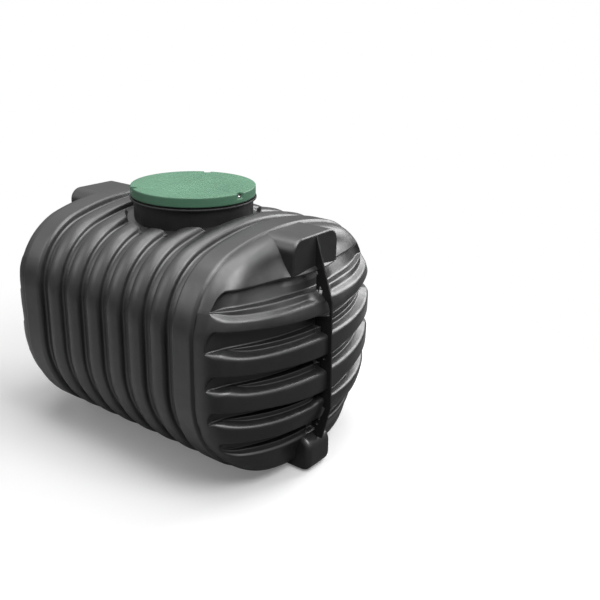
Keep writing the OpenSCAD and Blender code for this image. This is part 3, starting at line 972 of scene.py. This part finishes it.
@dataclass(frozen=True)
class Finish:
    """A moulded or metal finish with mottled colour, uneven gloss and a fine grain."""

    name: str
    light: Triple
    dark: Triple
    roughness: float
    spread: float = 0.05
    grain: float = 900.0
    grain_depth: float = 0.00012
    metallic: float = 0.0
    specular: float = 0.5

    def material(self) -> bpy.types.Material:
        """The node material, built when it is first asked for.

        Colour runs between dark and light by a broad noise, roughness by a middling one, and the
        bump is a fine grain over slow waviness of the moulding.
        """
        made = bpy.data.materials.get(self.name)
        if made:
            return made
        made = bpy.data.materials.new(self.name)
        made.use_nodes = True
        graph = Graph(made.node_tree)
        place = graph.add("TexCoord").outputs["Object"]
        broad, middle, fine = (
            graph.add("TexNoise", {"Scale": scale, "Detail": detail, "Vector": place})
            for scale, detail in ((3.2, 4.0), (22.0, 3.0), (self.grain, 2.0))
        )
        ramp = graph.add("ValToRGB", {"Fac": broad})
        for k, position, colour in ((0, 0.35, self.dark), (1, 0.68, self.light)):
            stop = ramp.color_ramp.elements[k]
            stop.position, stop.color = position, (*colour, 1.0)
        limits = (self.roughness - self.spread, self.roughness + self.spread)
        gloss = graph.mapped(middle, (0.3, 0.7), limits, "LINEAR")
        waves = graph.add("Bump", {"Strength": 0.35, "Distance": 0.0012, "Height": middle})
        depth = self.grain_depth
        grain = graph.add("Bump", {"Strength": 0.4, "Distance": depth, "Height": fine, "Normal": waves})
        inputs = {"Base Color": ramp, "Roughness": gloss, "Normal": grain, "Metallic": self.metallic}
        shader = graph.add("BsdfPrincipled", {**inputs, "Specular IOR Level": self.specular})
        graph.add("OutputMaterial", {"Surface": shader})
        return made


def dress(piece: Object, finish: Finish, slot: Slot, *nodes: str) -> Object:
    """Gives a piece its finish and body, and hides the CAD nodes that it stands for."""
    piece.data.materials.append(finish.material())
    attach(piece, "root")
    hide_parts(*nodes)
    return piece


BLACK = Finish("moulded_black", (0.022, 0.022, 0.023), (0.014, 0.014, 0.015), 0.37, specular=0.95)
DULL_BLACK = Finish("dull_black", (0.02, 0.02, 0.021), (0.012, 0.012, 0.013), 0.52, specular=0.35)
GREEN = Finish("moulded_green", (0.098, 0.228, 0.143), (0.072, 0.178, 0.11), 0.48, 0.06, 700.0, 0.00015)
STEEL = Finish("brushed_steel", (0.62, 0.62, 0.61), (0.5, 0.5, 0.5), 0.3, 0.05, 600.0, 0.00005, 1.0)


# -------- studio


@dataclass
class Studio:
    """White floor and backdrop, soft overhead light, and the camera."""

    lens: float = 49.24
    azimuth: float = 36.79
    elevation: float = 20.44
    roll: float = 1.33
    place: Triple = (3.1664, -3.2244, 2.4457)
    sky: float = 0.04
    sky_shine: float = 1.0
    low_shine: float = 0.25
    bounce: float = 0.55
    # painted shade: grey that the floor shows before the front end to all rays but the camera's
    painted_shade_before_end: float = 0.12
    floor_lift: float = 0.16
    floor_half: float = 14.0

    def camera(self) -> None:
        """Aims the camera: back, right and up from azimuth and elevation, then the roll."""
        data = bpy.data.cameras.new("camera")
        data.lens, data.sensor_width = self.lens, 36.0
        bpy.context.scene.camera = made = add_object("camera", data)
        az, el, roll = (math.radians(v) for v in (self.azimuth, self.elevation, self.roll))
        back = Vector((math.sin(az) * math.cos(el), -math.cos(az) * math.cos(el), math.sin(el)))
        right = Vector((math.cos(az), math.sin(az), 0.0))
        up = back.cross(right)
        across = math.cos(roll) * right + math.sin(roll) * up
        upward = -math.sin(roll) * right + math.cos(roll) * up
        columns = (across, upward, back, Vector(self.place))
        made.matrix_world = Matrix([[c[k] for c in columns] for k in range(3)] + [[0, 0, 0, 1]])

    def lamp(self, name: str, place: Triple, size: float, power: float) -> None:
        """A square soft lamp aimed at the tank's middle."""
        data = bpy.data.lights.new(name, "AREA")
        data.size, data.energy = size, power
        made = add_object(name, data)
        made.location = place
        aim = Vector((0, 0, 0.7)) - made.location
        made.rotation_euler = aim.to_track_quat("-Z", "Y").to_euler()

    def floor(self) -> None:
        """A wide floor: white with the tank's shadow, and plain white further out.

        All rays but the camera's find it a painted grey shade, darker still before the front end, which
        dims the tank's reflections.
        """
        span = np.linspace(-self.floor_half, self.floor_half, 3)
        x, y = np.meshgrid(span, span, indexing="ij")
        made = Sheet(np.stack([x, y, 0.0 * x], axis=-1)).solid("floor")
        material = bpy.data.materials.new("floor_white")
        material.use_nodes = True
        graph = Graph(material.node_tree)
        place = graph.add("TexCoord").outputs["Object"]
        along = graph.add("SeparateXYZ", {0: place}).outputs["X"]
        # painted shade: to all rays but the camera's the floor is grey, and darker still before the
        # front end, so the tank reflects shade there
        grey = graph.mapped(along, (0.2, 1.1), (self.bounce, self.painted_shade_before_end))
        dark = graph.add("BsdfDiffuse", {"Color": grey})
        white = graph.add("BsdfDiffuse", {"Color": (0.92, 0.92, 0.92, 1.0)})
        lift = graph.add("Emission", {"Strength": self.floor_lift})
        far = graph.add("VectorMath", {0: place}, operation="LENGTH").outputs["Value"]
        reach = graph.mapped(far, (1.5, 3.0), (0.0, 1.0))
        plain = graph.add("Emission", {"Strength": 1.0})
        lifted = graph.add("AddShader", {0: white, 1: lift})
        near = graph.add("MixShader", {0: reach, 1: lifted, 2: plain})
        rays = graph.add("LightPath").outputs
        seen = graph.add("MixShader", {0: rays["Is Camera Ray"], 1: dark, 2: near})
        graph.add("OutputMaterial", {"Surface": seen})
        made.data.materials.append(material)

    def world(self) -> None:
        """A plain world: white to the camera, dim as light, and in reflections white up high only."""
        world = bpy.data.worlds.new("studio")
        bpy.context.scene.world = world
        world.use_nodes = True
        graph = Graph(world.node_tree)
        way = graph.add("SeparateXYZ", {0: graph.add("TexCoord").outputs["Generated"]}).outputs["Z"]
        height = graph.mapped(way, (0.05, 0.75), (self.low_shine, self.sky_shine))
        seen, shine, lit = (
            graph.add("Background", {"Color": (1.0, 1.0, 1.0, 1.0), "Strength": strength})
            for strength in (1.0, height, self.sky)
        )
        rays = graph.add("LightPath").outputs
        direct = {0: rays["Is Camera Ray"], 1: rays["Is Transmission Ray"]}
        either = graph.add("Math", direct, operation="MAXIMUM")
        glossy = graph.add("MixShader", {0: rays["Is Glossy Ray"], 1: lit, 2: shine})
        graph.add("OutputWorld", {"Surface": graph.add("MixShader", {0: either, 1: glossy, 2: seen})})

    def build(self) -> None:
        """Sets up the whole studio."""
        bpy.context.scene.view_settings.view_transform = "Standard"
        self.camera()
        self.floor()
        self.world()
        self.lamp("overhead", (0.4, -0.3, 4.9), 4.4, 185.0)
        self.lamp("side", (-3.2, -3.8, 3.6), 3.0, 35.0)
        self.lamp("rim", (1.5, 4.4, 3.4), 3.0, 170.0)
        self.lamp("front", (4.0, -0.6, 4.9), 2.8, 150.0)


# -------- main


def dress_fins(finish: Finish) -> None:
    """Gives the CAD fins, whose shape is right, a dull moulded finish."""
    for end in End:
        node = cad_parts[end.node("fin")]
        node.data.materials.clear()
        node.data.materials.append(finish.material())


def main() -> None:
    """Builds every piece in order."""
    logging.basicConfig(level=logging.INFO, format="%(message)s")
    Studio().build()
    barrel = Barrel()
    made = barrel.build(BLACK) + NeckRecess(barrel).build(BLACK)
    for end in End:
        made += DishedEnd(end).build(BLACK)
        made += PipeBlock(end).build(BLACK)
        made += Foot(end).build(BLACK)
    dress_fins(DULL_BLACK)
    made += Neck().build(DULL_BLACK)
    made += Lid().build(GREEN, STEEL)
    for piece in made:
        LOG.info("%s: %d faces", piece.name, len(piece.data.polygons))


if __name__ == "__main__":
    main()
